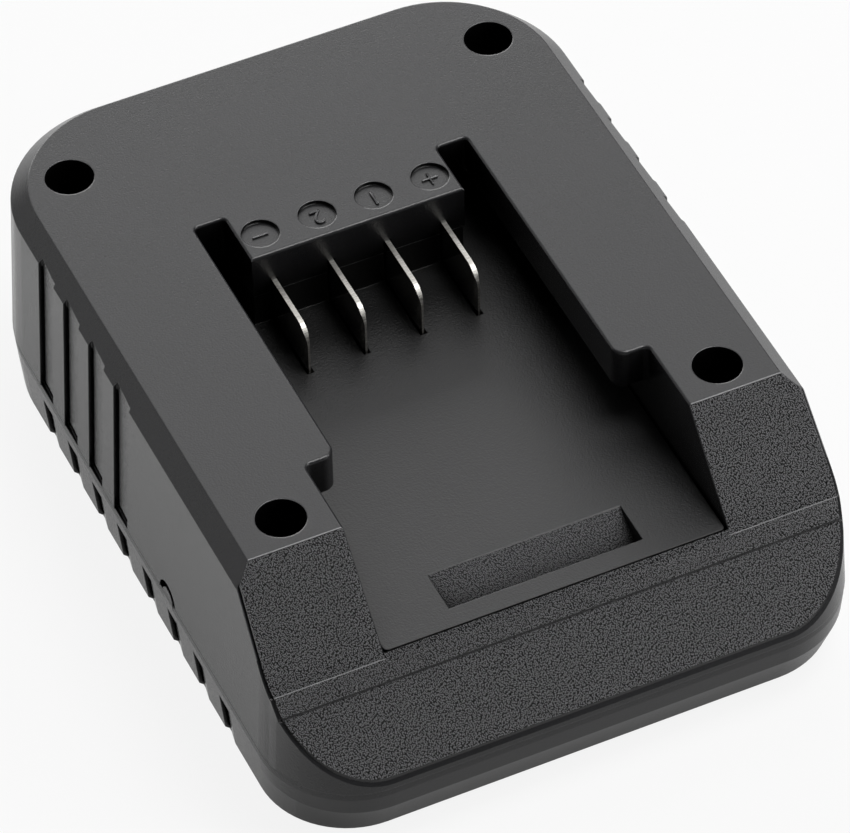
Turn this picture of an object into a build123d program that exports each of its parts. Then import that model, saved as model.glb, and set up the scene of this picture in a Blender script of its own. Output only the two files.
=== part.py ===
from build123d import *
import math
import os

# Slide-in charging dock for a tool battery, fed with low-voltage direct current.
# Millimetres. +Z is up, the dock opens to the front (-Y), the blades point to the front.
# The origin is under the middle of the body, on the surface that the feet stand on.

# Housing, measured on the parting line between the two shells
body_width = 100.2
dock_length = 97.2
bay_length = 37.3
lower_height = 12.2
upper_height = 30.5
front_corner_radius = 16.0
rear_corner_radius = 23.5
side_draft = 3.0
top_chamfer = 3.0
wall = 2.4
crown_wall = 2.6
base_wall = 2.4
overrun = 1.0
tiny = 0.001

# Lower shell: the walls lean in to the base, most of all along a bevel at the front
base_side_inset = 1.05
base_front_inset = 3.3
bevel_drop = 4.6
seam_bevel_height = 1.4
seam_bevel_depth = 0.2
base_edge_round = 0.8
rim_height = 2.0
rim_thickness = 1.2
rim_root = 3.0
rim_clearance = 0.3
rim_front_setback = 19.5

# Grained front: an upper slope, a narrow steeper step and a lower panel, raised above a ledge at the walls
slope_top_setback = 27.3
step_top_setback = 12.7
step_top_drop = 15.55
step_foot_setback = 10.67
step_foot_drop = 18.5
panel_foot_drop = 28.95
step_shelf = 0.25
groove_width = 0.3
groove_depth = 0.35
grain_rise = 0.4
grain_margin = 0.5

# Dock: open pocket with two overhanging rails and a hood over the roots of the blades
dock_depth = 14.95
entry_width = 59.2
rail_opening = 48.3
rail_thickness = 7.4
rail_end_setback = 41.7
rail_nose_radius = 2.2
rail_root_radius = 1.0
dock_wall = 2.0
slot_corner_radius = 0.8
hood_width = 37.6
hood_depth = 10.7
hood_height = 8.35
hood_wall = 2.0
dock_edge_round = 0.5
slope_edge_round = 0.25
blade_notch_clearance = 0.25
mark_disc_radius = 3.15
mark_disc_depth = 0.7
mark_disc_inset = 5.0

# Dock floor: a loose plate on four legs, with the catch ramp and the terminal block
floor_front_setback = 13.55
floor_gap = 0.3
floor_pad_thickness = 1.2
floor_flange_thickness = 1.4
floor_flange_setback = 16.0
floor_leg_diameter = 5.0
floor_leg_inset_x = 2.6
floor_leg_front_setback = 30.0
floor_leg_rear_inset = 3.0
catch_width = 33.4
catch_front_setback = 17.2
catch_length = 8.1
catch_depth = 4.3
catch_tray_wall = 1.1
terminal_block_gap = 0.25
blade_slot_lead = 0.3
blade_slot_clearance = 0.2

# Terminal blades, stamped from flat strip and soldered to the circuit board
blade_count = 4
blade_pitch = 10.0
blade_thickness = 0.8
blade_rear_inset = 6.4
blade_length = 17.6
blade_top_drop = 5.9
blade_nose_radius = 3.5
blade_lead = 1.0
blade_tip_width = 0.35
blade_shoulder_drop = 22.0
blade_leg_width = 2.4
blade_leg_inset = 2.8
blade_leg_stub = 1.6

# Screw wells in the top, with the screws that draw the two shells together
well_spacing_x = 75.0
well_front_setback = 33.1
well_rear_setback = 17.6
well_diameter = 8.1
well_wall = 1.7
well_depth = 20.0
well_floor = 2.4
screw_hole_diameter = 3.6
screw_head_diameter = 6.4
screw_head_height = 2.4
screw_socket_width = 2.6
screw_socket_depth = 1.4
screw_shank_diameter = 3.0
screw_shank_length = 8.0
screw_boss_diameter = 9.0
screw_pilot_clearance = 0.1
screw_pilot_reserve = 1.5

# Side vents: tall louvres in the upper shell and short slots in the lower shell
vent_setback = 30.8
vent_pitch = 10.22
vent_depth = 0.7
louvre_count = 4
louvre_flat_width = 5.1
louvre_head_flat_width = 6.0
louvre_end_depth = 0.4
louvre_ramp = 0.35
louvre_slot_width = 0.8
louvre_foot_height = 1.0
louvre_foot_rise = 0.5
louvre_head_drop = 3.8
low_vent_count = 8
low_vent_width = 4.2
low_vent_slot_width = 0.8
low_vent_head_drop = 3.4

# Blanked cord exit: a half-round tongue of the lower shell in a notch of the upper one
tongue_radius = 1.95
tongue_gap = 1.2
tongue_vent_count = 5
tongue_offset = 1.1

# Rubber feet in shallow seats under the base
foot_diameter = 10.6
foot_proud = 1.2
foot_seat_depth = 0.9
foot_seat_gap = 0.2
foot_edge_round = 0.4
foot_inset_x = 15.1
foot_inset_y = 19.25

# Circuit board on four bosses of the lower shell
board_width = 52.0
board_reach = 38.2
board_rear_gap = 2.4
board_thickness = 1.6
board_lift = 6.6
board_corner_radius = 2.0
board_boss_diameter = 6.0
board_boss_inset_x = 4.0
board_boss_inset_y = 5.0
board_hole_diameter = 3.0
board_screw_head_diameter = 5.0
board_screw_head_height = 1.8
board_screw_diameter = 2.4
board_screw_length = 6.0

# Direct-current inlet in the rear wall, standing on the board
inlet_width = 9.0
inlet_height = 11.0
inlet_length = 13.6
inlet_axis_height = 6.5
inlet_bore_diameter = 5.6
inlet_bore_depth = 9.5
inlet_pin_diameter = 2.0
inlet_pin_length = 9.0
inlet_nose_diameter = 8.4
inlet_nose_length = 2.0
inlet_hole_gap = 0.3
inlet_wall_gap = 0.3
inlet_rim_notch_width = 15.0

# Parts on the board: low ones under the dock, tall ones in the bay behind it
can_groove_depth = 0.5
can_groove_height = 1.4
can_groove_rise = 2.0
input_can_height = 16.0
input_can_inlet_gap = 3.7
input_can_screw_gap = 1.3
input_can_rear_gap = 3.0
output_can_height = 20.0
output_can_dock_gap = 0.65
output_can_gap = 4.35
output_can_choke_gap = 1.45
output_can_edge_gap = 5.15
choke_diameter = 15.6
choke_height = 13.0
choke_neck_diameter = 8.0
choke_flange = 2.0
choke_winding_gap = 0.2
choke_winding_margin = 0.7
choke_inlet_gap = 1.1
choke_offset = -0.9
sink_height = 22.0
sink_dock_gap = 0.6
sink_screw_gap = 1.8
sink_back_thickness = 2.4
sink_fin_length = 5.4
sink_fin_thickness = 1.2
sink_fin_count = 5
sink_edge_gap = 0.6
package_gap = 0.3
package_height = 9.0
package_thickness = 4.4
package_tab_thickness = 1.3
package_tab_height = 6.2
package_tab_hole = 3.6
package_lift = 4.6
package_leg_width = 0.9
package_leg_thickness = 0.5
package_leg_pitch = 2.54
sink_screw_head_diameter = 5.4
sink_screw_head_height = 1.7
sink_screw_diameter = 2.9
sink_screw_hole_diameter = 3.1
chip_length = 10.0
chip_width = 3.9
chip_height = 1.75
chip_leg_reach = 1.05
chip_leg_width = 0.42
chip_leg_pitch = 1.27
chip_legs_per_side = 8
fuse_length = 20.0
fuse_diameter = 5.2
fuse_cap_length = 5.0
fuse_cap_wall = 0.2
fuse_lift = 1.2
fuse_front_inset = 9.1
clip_width = 3.4
clip_thickness = 0.5
clip_gap = 0.1
clip_rise_share = 0.8

# Levels and places that follow from the sizes above
body_length = dock_length + bay_length
front_y = -body_length / 2
rear_y = body_length / 2
half_width = body_width / 2
base_z = foot_proud
seam_z = base_z + lower_height
top_z = seam_z + upper_height
shoulder_z = top_z - top_chamfer
bevel_z = seam_z - bevel_drop
draft_inset = (upper_height - top_chamfer) * math.tan(math.radians(side_draft))
floor_z = top_z - dock_depth
pad_bottom_z = floor_z - floor_pad_thickness
flange_bottom_z = pad_bottom_z - floor_flange_thickness
rail_bottom_z = top_z - rail_thickness
hood_bottom_z = top_z - hood_height
dock_rear_y = front_y + dock_length
hood_y = dock_rear_y - hood_depth
dock_front_y = front_y + floor_front_setback
rail_end_y = front_y + rail_end_setback
blade_rear_y = dock_rear_y - blade_rear_inset
blade_front_y = blade_rear_y - blade_length
blade_top_z = top_z - blade_top_drop
blade_shoulder_z = top_z - blade_shoulder_drop
well_floor_z = top_z - well_depth
boss_top_z = well_floor_z - well_floor
inner_base_z = base_z + base_wall
board_bottom_z = inner_base_z + board_lift
board_top_z = board_bottom_z + board_thickness
board_front_y = dock_rear_y - board_reach
board_rear_y = rear_y - wall - board_rear_gap
inlet_face_y = rear_y - wall - inlet_wall_gap - inlet_nose_length
inlet_z = board_top_z + inlet_axis_height
blade_xs = [(i - (blade_count - 1) / 2) * blade_pitch for i in range(blade_count)]
well_ys = [front_y + well_front_setback, rear_y - well_rear_setback]
well_places = [(x, y) for x in (-well_spacing_x / 2, well_spacing_x / 2) for y in well_ys]
board_boss_x = board_width / 2 - board_boss_inset_x
board_boss_ys = [board_front_y + board_boss_inset_y, board_rear_y - board_boss_inset_y]
board_boss_places = [(x, y) for x in (-board_boss_x, board_boss_x) for y in board_boss_ys]
vent_ys = [rear_y - vent_setback - i * vent_pitch for i in range(low_vent_count)]
tongue_y = vent_ys[tongue_vent_count] - tongue_offset
tub_rear_y = dock_rear_y + dock_wall
slope_run = slope_top_setback - step_top_setback
slope_length = math.hypot(slope_run, step_top_drop)

# Parts on the board, fitted between the dock, the inlet and the board's screws
screw_head_x = board_boss_x - board_screw_head_diameter / 2
screw_head_y = board_boss_ys[-1] - board_screw_head_diameter / 2
input_can_x0 = inlet_width / 2 + input_can_inlet_gap
input_can_x1 = screw_head_x - input_can_screw_gap
input_can_diameter = input_can_x1 - input_can_x0
input_can_y1 = board_rear_y - input_can_rear_gap
input_can_place = ((input_can_x0 + input_can_x1) / 2, input_can_y1 - input_can_diameter / 2)
output_can_y0 = tub_rear_y + output_can_dock_gap
output_can_y1 = input_can_y1 - input_can_diameter - output_can_gap
output_can_x0 = choke_offset + choke_diameter / 2 + output_can_choke_gap
output_can_x1 = board_width / 2 - output_can_edge_gap
output_can_diameter = min(output_can_x1 - output_can_x0, output_can_y1 - output_can_y0)
output_can_place = ((output_can_x0 + output_can_x1) / 2, output_can_y0 + output_can_diameter / 2)
choke_place = (choke_offset, inlet_face_y - inlet_length - choke_inlet_gap - choke_diameter / 2)
sink_x = sink_edge_gap - board_width / 2 + sink_fin_length + sink_back_thickness
sink_y0 = tub_rear_y + sink_dock_gap
sink_y1 = screw_head_y - sink_screw_gap
package_spacing = (sink_y1 - sink_y0) / 2
package_width = package_spacing - package_gap
package_ys = [sink_y0 + package_spacing / 2, sink_y1 - package_spacing / 2]
package_foot_z = board_top_z + package_lift
tab_hole_z = package_foot_z + package_height + package_tab_height / 2
chip_y = (blade_front_y + blade_rear_y) / 2
fuse_y = board_front_y + fuse_front_inset
fuse_z = board_top_z + fuse_lift + fuse_diameter / 2


def block(x0, x1, y0, y1, z0, z1):
    """A box between two corners."""
    middle = Pos((x0 + x1) / 2, (y0 + y1) / 2, (z0 + z1) / 2)
    return middle * Box(x1 - x0, y1 - y0, z1 - z0)


def post(x, y, z0, z1, diameter):
    """An upright round post."""
    return Pos(x, y, (z0 + z1) / 2) * Cylinder(diameter / 2, z1 - z0)


def outline(z, side, front=None, rear=None):
    """The housing's plan at one height, set in from the parting line's outline."""
    front = side if front is None else front
    rear = side if rear is None else rear
    y0 = front_y + front
    y1 = rear_y - rear
    plan = Pos(0, (y0 + y1) / 2) * Rectangle(body_width - 2 * side, y1 - y0)
    plan = fillet(plan.vertices().group_by(Axis.Y)[0], front_corner_radius - side)
    plan = fillet(plan.vertices().group_by(Axis.Y)[-1], rear_corner_radius - side)
    return Pos(0, 0, z) * plan


def slope_cut(depth):
    """Everything in front of the grained front, moved inwards by a depth."""
    shift_y = depth * step_top_drop / slope_length
    shift_z = -depth * slope_run / slope_length
    panel_rise = (panel_foot_drop - step_foot_drop) / step_foot_setback
    corners = [
        (slope_top_setback + top_chamfer * slope_run / step_top_drop, -top_chamfer),
        (step_top_setback, step_top_drop),
        (step_top_setback - step_shelf, step_top_drop),
        (step_foot_setback, step_foot_drop),
        (step_foot_setback - groove_width / 4, step_foot_drop + groove_depth),
        (step_foot_setback - groove_width, step_foot_drop + groove_width * panel_rise),
        (-wall, panel_foot_drop + wall * panel_rise),
        (-body_length, panel_foot_drop + wall * panel_rise),
        (-body_length, -top_chamfer),
    ]
    points = [(front_y + setback + shift_y, top_z - drop + shift_z) for setback, drop in corners]
    profile = Plane.YZ * make_face(Polyline(points, close=True))
    return extrude(profile, body_width, both=True)


def upper_form(inset, crown, below):
    """The upper housing as a solid, set in by a wall and lowered by a crown."""
    sections = [
        outline(seam_z - below, inset),
        outline(shoulder_z - inset / 2, draft_inset + inset),
        outline(top_z - crown, draft_inset + top_chamfer + inset / 2),
    ]
    return loft(sections, ruled=True)


def grain_bed():
    """The side walls drawn on up past the top face, set in by the ledge beside the grained front."""
    rise = (upper_height + overrun) * math.tan(math.radians(side_draft))
    return loft([outline(seam_z, grain_margin), outline(top_z + overrun, rise + grain_margin)], ruled=True)


def lower_form(inset, floor, above, bevel=0):
    """The lower housing as a solid, set in by a wall and raised by a floor, with a bevel at the seam."""
    lean = base_side_inset / lower_height
    foot = base_edge_round if floor == 0 else 0
    sections = [
        outline(base_z + floor, base_side_inset + inset + foot, base_front_inset + inset + foot),
        outline(base_z + floor + base_edge_round, base_side_inset + inset, base_front_inset + inset),
        outline(bevel_z, bevel_drop * lean + inset),
    ]
    if bevel:
        sections.append(outline(seam_z - seam_bevel_height, seam_bevel_height * lean + inset))
    sections.append(outline(seam_z + above, inset + bevel))
    return loft(sections, ruled=True)


def dock_void():
    """The open pocket: mouth, rail channels and the slots beside the hood."""
    entry = entry_width / 2
    rail = rail_opening / 2
    hood = hood_width / 2
    mouth_y = front_y - overrun
    plan = make_face(Polyline(
        (-entry, mouth_y), (-entry, rail_end_y), (-rail, rail_end_y), (-rail, dock_rear_y),
        (-hood, dock_rear_y), (-hood, hood_y), (hood, hood_y), (hood, dock_rear_y),
        (rail, dock_rear_y), (rail, rail_end_y), (entry, rail_end_y), (entry, mouth_y), close=True))
    step = plan.vertices().filter_by_position(Axis.Y, rail_end_y - overrun, rail_end_y + overrun)
    plan = fillet([v for v in step if abs(v.X) < (rail + entry) / 2], rail_nose_radius)
    step = plan.vertices().filter_by_position(Axis.Y, rail_end_y - overrun, rail_end_y + overrun)
    plan = fillet([v for v in step if abs(v.X) > entry - rail_root_radius], rail_root_radius)
    plan = fillet(plan.vertices().group_by(Axis.Y)[-1], slot_corner_radius)
    mouth = extrude(Pos(0, 0, rail_bottom_z) * plan, rail_thickness + overrun)
    channels = block(-entry, entry, mouth_y, dock_rear_y, floor_z, rail_bottom_z)
    floor_bed = block(-entry, entry, dock_front_y - floor_gap, dock_rear_y, pad_bottom_z, floor_z)
    hood_skirt = block(-hood, hood, hood_y, dock_rear_y, hood_bottom_z, rail_bottom_z)
    return mouth + floor_bed + (channels - hood_skirt)


def dock_top_edges(shell):
    """The edges where the pocket's walls, rails and hood meet the top face."""
    level = shell.edges().filter_by_position(Axis.Z, top_z - tiny, top_z + tiny)
    return [edge for edge in level
            if abs(edge.center().X) < entry_width / 2 + tiny and edge.center().Y < dock_rear_y + tiny]


def slope_top_edges(shell):
    """The long edges between the top face and the grained front, left and right of the mouth."""
    level = shell.edges().filter_by_position(Axis.Z, top_z - tiny, top_z + tiny).filter_by(Axis.X)
    slope_y = front_y + slope_top_setback
    return [edge for edge in level if abs(edge.center().Y - slope_y) < tiny and edge.length > slope_edge_round]


def vent_channel(rear, end_depth, foot, head):
    """A shallow channel up the right wall: a flat from the slot's depth to an end depth, then a ramp.

    Its foot and head each give a height, the wall's face there, the flat's width and the whole width.
    """
    sections = []
    for z, face, flat, width in (foot, head):
        plan = Polyline((face - vent_depth, rear), (face - end_depth, rear - flat), (face, rear - width),
                        (face + overrun, rear - width), (face + overrun, rear), close=True)
        sections.append(Pos(0, 0, z) * make_face(plan))
    return loft(sections, ruled=True)


def louvre_cut(side, rear):
    """One tall louvre: its channel, an open slot at the rear of it and the slot's foot."""
    face_high = half_width - upper_height * math.tan(math.radians(side_draft))
    channel_foot = (seam_z, half_width, louvre_flat_width, louvre_flat_width + louvre_ramp)
    channel_head = (top_z, face_high, louvre_head_flat_width, louvre_head_flat_width + louvre_ramp)
    channel = vent_channel(rear, louvre_end_depth, channel_foot, channel_head)
    foot_z = seam_z + louvre_foot_rise
    slot = block(half_width - 2 * wall, half_width + overrun, rear - louvre_slot_width, rear,
                 foot_z, top_z - louvre_head_drop)
    foot = block(half_width - 2 * wall, half_width + overrun, rear - louvre_flat_width, rear,
                 foot_z, foot_z + louvre_foot_height)
    cut = channel + slot + foot
    return cut if side > 0 else mirror(cut, Plane.YZ)


def low_vent_cut(side, rear):
    """One short slot of the lower shell, with its channel, which runs out at the base."""
    lean = base_side_inset / lower_height
    foot_z = base_z - overrun
    head_z = seam_z - low_vent_head_drop
    foot = (foot_z, half_width - (seam_z - foot_z) * lean, low_vent_slot_width, low_vent_width)
    head = (head_z, half_width - low_vent_head_drop * lean, low_vent_slot_width, low_vent_width)
    channel = vent_channel(rear, vent_depth, foot, head)
    slot = block(half_width - 2 * wall, half_width + overrun, rear - low_vent_slot_width, rear,
                 base_z + base_edge_round, head_z)
    cut = channel + slot
    return cut if side > 0 else mirror(cut, Plane.YZ)


def tongue_disc(radius):
    """The round of the blanked cord exit, through the left wall on the parting line."""
    disc = Plane.YZ * Circle(radius)
    disc = Pos(-half_width - overrun, tongue_y, seam_z) * disc
    return extrude(disc, wall + overrun)


def make_upper_shell():
    """Top housing: dock, rails, hood, screw wells, grained front and louvres."""
    outer = upper_form(0, 0, 0) - slope_cut(0)
    outer = outer - (slope_cut(grain_rise) - grain_bed())
    cavity = upper_form(wall, crown_wall, overrun) - slope_cut(wall)
    shell = outer - cavity
    tub_half = entry_width / 2 + dock_wall
    tub = block(-tub_half, tub_half, front_y, tub_rear_y, pad_bottom_z, top_z)
    wells = [post(x, y, boss_top_z, top_z, well_diameter + 2 * well_wall) for x, y in well_places]
    shell = shell + (outer & tub) + [outer & well for well in wells]
    shell = shell - dock_void()
    shell = fillet(dock_top_edges(shell), dock_edge_round)
    shell = fillet(slope_top_edges(shell), slope_edge_round)
    hood_inner = hood_width / 2 - hood_wall
    shell = shell - block(-hood_inner, hood_inner, hood_y + hood_wall, dock_rear_y,
                          hood_bottom_z, top_z - crown_wall)
    notch_half = blade_thickness / 2 + blade_notch_clearance
    for x in blade_xs:
        shell = shell - block(x - notch_half, x + notch_half, hood_y, hood_y + hood_wall,
                              hood_bottom_z, blade_top_z + blade_notch_clearance)
        shell = shell - post(x, hood_y + mark_disc_inset, top_z - mark_disc_depth,
                             top_z + overrun, 2 * mark_disc_radius)
    for x, y in well_places:
        shell = shell - post(x, y, well_floor_z, top_z + overrun, well_diameter)
        shell = shell - post(x, y, boss_top_z - overrun, top_z, screw_hole_diameter)
    for side in (-1, 1):
        for i in range(louvre_count):
            shell = shell - louvre_cut(side, vent_ys[i])
    shell = shell - tongue_disc(tongue_radius + tongue_gap)
    inlet_hole = Cylinder((inlet_nose_diameter + 2 * inlet_hole_gap) / 2, 2 * wall + 2 * overrun)
    shell = shell - Pos(0, rear_y - wall, inlet_z) * Rot(90, 0, 0) * inlet_hole
    return shell


def make_lower_shell():
    """Base tray: rim, screw bosses, board bosses, side slots, tongue and foot seats."""
    shell = lower_form(0, 0, 0, seam_bevel_depth) - lower_form(wall, base_wall, overrun)
    rim_inset = wall + rim_clearance
    rim = extrude(outline(seam_z - rim_root, rim_inset), rim_root + rim_height)
    root = extrude(outline(seam_z - rim_root, wall / 2), rim_root)
    core = extrude(outline(seam_z - rim_root, rim_inset + rim_thickness), rim_root + rim_height)
    keep = block(-half_width, half_width, front_y + rim_front_setback, rear_y,
                 base_z, seam_z + rim_height)
    notch_half = inlet_rim_notch_width / 2
    notch = block(-notch_half, notch_half, rear_y - body_length / 4, rear_y - wall,
                  seam_z - rim_root, seam_z + rim_height)
    shell = shell + (((rim + root) - core - notch) & keep)
    for x, y in well_places:
        shell = shell + post(x, y, base_z + base_wall / 2, boss_top_z, screw_boss_diameter)
        tip_z = well_floor_z - screw_shank_length - screw_pilot_reserve
        pilot = screw_shank_diameter + 2 * screw_pilot_clearance
        shell = shell - post(x, y, tip_z, boss_top_z + overrun, pilot)
    for x, y in board_boss_places:
        shell = shell + post(x, y, base_z + base_wall / 2, board_bottom_z, board_boss_diameter)
        tip_z = board_top_z - board_screw_length - screw_pilot_clearance
        pilot = board_screw_diameter + 2 * screw_pilot_clearance
        shell = shell - post(x, y, tip_z, board_bottom_z + overrun, pilot)
    for side in (-1, 1):
        for y in vent_ys:
            shell = shell - low_vent_cut(side, y)
    shell = shell + (tongue_disc(tongue_radius) & (upper_form(0, 0, 0) + lower_form(0, 0, 0)))
    for x, y in foot_places():
        shell = shell - post(x, y, base_z - overrun, base_z + foot_seat_depth,
                             foot_diameter + 2 * foot_seat_gap)
    return shell


def foot_places():
    """The four feet, under the corners of the base."""
    return [(x, y) for x in (foot_inset_x - half_width, half_width - foot_inset_x)
            for y in (front_y + foot_inset_y, rear_y - foot_inset_y)]


def make_dock_floor():
    """Floor plate of the dock: catch ramp, block that holds the blades, legs that stand on the base."""
    pad_half = entry_width / 2 - floor_gap
    pad = block(-pad_half, pad_half, dock_front_y, dock_rear_y - floor_gap, pad_bottom_z, floor_z)
    pad = fillet(pad.edges().filter_by(Axis.Z).group_by(Axis.Y)[0], slot_corner_radius)
    flange_half = entry_width / 2 + dock_wall
    flange = block(-flange_half, flange_half, front_y + floor_flange_setback, tub_rear_y,
                   flange_bottom_z, pad_bottom_z)
    catch_front_y = front_y + catch_front_setback
    catch_rear_y = catch_front_y + catch_length
    catch_half = catch_width / 2
    tray = block(-catch_half - catch_tray_wall, catch_half + catch_tray_wall,
                 catch_front_y - catch_tray_wall, catch_rear_y,
                 floor_z - catch_depth - catch_tray_wall, floor_z)
    ramp = make_face(Polyline((catch_front_y, floor_z - catch_depth), (catch_front_y, floor_z + overrun),
                              (catch_rear_y, floor_z + overrun), (catch_rear_y, floor_z), close=True))
    ramp = extrude(Plane.YZ * ramp, catch_half, both=True)
    holder_half = hood_width / 2 - terminal_block_gap
    holder = block(-holder_half, holder_half, hood_y + terminal_block_gap, dock_rear_y - floor_gap,
                   pad_bottom_z, hood_bottom_z - terminal_block_gap)
    plate = pad + flange + tray + holder - ramp
    leg_x = flange_half - floor_leg_inset_x
    for x in (-leg_x, leg_x):
        for y in (front_y + floor_leg_front_setback, dock_rear_y - floor_leg_rear_inset):
            plate = plate + post(x, y, inner_base_z, pad_bottom_z, floor_leg_diameter)
    slot_half = blade_thickness / 2 + blade_slot_clearance
    for x in blade_xs:
        plate = plate - block(x - slot_half, x + slot_half, blade_front_y - blade_slot_lead,
                              blade_rear_y + blade_slot_clearance, flange_bottom_z, top_z)
    return plate


def make_blade(x):
    """One terminal blade: the contact above the floor, two solder legs below."""
    tip_z = board_bottom_z - blade_leg_stub
    front_leg_y = blade_front_y + blade_leg_inset
    rear_leg_y = blade_rear_y - blade_leg_inset
    contact = make_face(Polyline(
        (blade_front_y, blade_shoulder_z), (blade_front_y, blade_top_z), (blade_rear_y, blade_top_z),
        (blade_rear_y, blade_shoulder_z), close=True))
    nose = contact.vertices().group_by(Axis.Y)[-1].sort_by(Axis.X)[0]
    contact = fillet(nose, blade_nose_radius)
    half = blade_thickness / 2
    tip = blade_tip_width / 2
    lead_y = blade_front_y + blade_lead
    plan = make_face(Polyline(
        (-half, blade_rear_y), (-half, lead_y), (-tip, blade_front_y), (tip, blade_front_y),
        (half, lead_y), (half, blade_rear_y), close=True))
    blade = extrude(Plane.YZ * contact, half, both=True)
    blade = blade & extrude(Pos(0, 0, blade_shoulder_z) * plan, blade_top_z - blade_shoulder_z)
    for y in (front_leg_y, rear_leg_y - blade_leg_width):
        blade = blade + block(-half, half, y, y + blade_leg_width, tip_z, blade_shoulder_z)
    return Pos(x, 0, 0) * blade


def make_housing_screws():
    """Four socket-head screws, each at the bottom of its well."""
    screws = []
    for x, y in well_places:
        screw = post(x, y, well_floor_z, well_floor_z + screw_head_height, screw_head_diameter)
        screw = screw + post(x, y, well_floor_z - screw_shank_length, well_floor_z, screw_shank_diameter)
        head_top_z = well_floor_z + screw_head_height
        socket = extrude(RegularPolygon(screw_socket_width / 2, 6), screw_socket_depth + overrun)
        screws.append(screw - Pos(x, y, head_top_z - screw_socket_depth) * socket)
    return screws


def make_rubber_feet():
    """Four pads pressed into the seats under the base."""
    feet = []
    for x, y in foot_places():
        foot = post(x, y, 0, foot_proud + foot_seat_depth, foot_diameter)
        feet.append(chamfer(foot.edges().group_by(Axis.Z)[0], foot_edge_round))
    return feet


def make_circuit_board():
    """Board with screw holes and the slots for the blades' legs."""
    plan = Pos(0, (board_front_y + board_rear_y) / 2) * Rectangle(board_width, board_rear_y - board_front_y)
    plan = fillet(plan.vertices(), board_corner_radius)
    board = extrude(Pos(0, 0, board_bottom_z) * plan, board_thickness)
    for x, y in board_boss_places:
        board = board - post(x, y, board_bottom_z, board_top_z, board_hole_diameter)
    slot_half = blade_thickness / 2 + blade_slot_clearance
    front_leg_y = blade_front_y + blade_leg_inset
    rear_leg_y = blade_rear_y - blade_leg_inset - blade_leg_width
    for x in blade_xs:
        for y in (front_leg_y, rear_leg_y):
            board = board - block(x - slot_half, x + slot_half, y - blade_slot_clearance,
                                  y + blade_leg_width + blade_slot_clearance, board_bottom_z, board_top_z)
    return board


def make_board_screws():
    """Four small screws that hold the board on its bosses."""
    screws = []
    for x, y in board_boss_places:
        head = post(x, y, board_top_z, board_top_z + board_screw_head_height, board_screw_head_diameter)
        screws.append(head + post(x, y, board_top_z - board_screw_length, board_top_z, board_screw_diameter))
    return screws


def make_inlet_jack():
    """Plastic body of the inlet, with its round nose in the hole of the rear wall."""
    body = block(-inlet_width / 2, inlet_width / 2, inlet_face_y - inlet_length, inlet_face_y,
                 board_top_z, board_top_z + inlet_height)
    along = Pos(0, inlet_face_y, inlet_z) * Rot(-90, 0, 0)
    nose = along * Cylinder(inlet_nose_diameter / 2, inlet_nose_length,
                            align=(Align.CENTER, Align.CENTER, Align.MIN))
    bore = along * Pos(0, 0, inlet_nose_length) * Cylinder(
        inlet_bore_diameter / 2, inlet_bore_depth, align=(Align.CENTER, Align.CENTER, Align.MAX))
    return body + nose - bore


def make_inlet_pin():
    """Centre pin of the inlet, standing in the bottom of its bore."""
    along = Pos(0, inlet_face_y + inlet_nose_length - inlet_bore_depth, inlet_z) * Rot(-90, 0, 0)
    pin = along * Cylinder(inlet_pin_diameter / 2, inlet_pin_length,
                           align=(Align.CENTER, Align.CENTER, Align.MIN))
    return fillet(pin.edges().group_by(Axis.Y)[-1], inlet_pin_diameter / 4)


def make_can(place, diameter, height):
    """An electrolytic capacitor: a round can with a rolled groove near its foot."""
    x, y = place
    can = post(x, y, board_top_z, board_top_z + height, diameter)
    can = fillet(can.edges().group_by(Axis.Z)[-1], can_groove_depth)
    groove_z = board_top_z + can_groove_rise
    groove = post(x, y, groove_z, groove_z + can_groove_height, diameter)
    groove = groove - post(x, y, groove_z, groove_z + can_groove_height, diameter - 2 * can_groove_depth)
    return can - groove


def make_choke_core():
    """Ferrite drum of the choke: a neck between two flanges."""
    x, y = choke_place
    top = board_top_z + choke_height
    core = post(x, y, board_top_z, top, choke_neck_diameter)
    core = core + post(x, y, board_top_z, board_top_z + choke_flange, choke_diameter)
    return core + post(x, y, top - choke_flange, top, choke_diameter)


def make_choke_winding():
    """Wire wound on the drum, as one ring between the flanges."""
    x, y = choke_place
    z0 = board_top_z + choke_flange + choke_winding_gap
    z1 = board_top_z + choke_height - choke_flange - choke_winding_gap
    ring = post(x, y, z0, z1, choke_diameter - 2 * choke_winding_margin)
    return ring - post(x, y, z0, z1, choke_neck_diameter + 2 * choke_winding_gap)


def make_heat_sink():
    """Finned aluminium plate standing on the board, drilled for the two packages."""
    back_x = sink_x - sink_back_thickness
    top = board_top_z + sink_height
    sink = block(back_x, sink_x, sink_y0, sink_y1, board_top_z, top)
    step = (sink_y1 - sink_y0 - sink_fin_thickness) / (sink_fin_count - 1)
    for i in range(sink_fin_count):
        fin_y = sink_y0 + i * step
        sink = sink + block(back_x - sink_fin_length, back_x, fin_y, fin_y + sink_fin_thickness,
                            board_top_z, top)
    for y in package_ys:
        hole = Cylinder(sink_screw_hole_diameter / 2, 2 * sink_back_thickness)
        sink = sink - Pos(sink_x, y, tab_hole_z) * Rot(0, 90, 0) * hole
    return sink


def make_package(y):
    """A power package: moulded body, metal tab against the heat sink, three legs."""
    x = sink_x
    half = package_width / 2
    body_top = package_foot_z + package_height
    body = block(x, x + package_thickness, y - half, y + half, package_foot_z, body_top)
    tab = block(x, x + package_tab_thickness, y - half, y + half, body_top, body_top + package_tab_height)
    hole = Cylinder(package_tab_hole / 2, 2 * package_thickness)
    tab = tab - Pos(x, y, tab_hole_z) * Rot(0, 90, 0) * hole
    leg_x = x + package_thickness / 2
    package = body + tab
    for i in (-1, 0, 1):
        leg_y = y + i * package_leg_pitch
        package = package + block(leg_x, leg_x + package_leg_thickness, leg_y - package_leg_width / 2,
                                  leg_y + package_leg_width / 2, board_top_z, package_foot_z)
    return package


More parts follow.
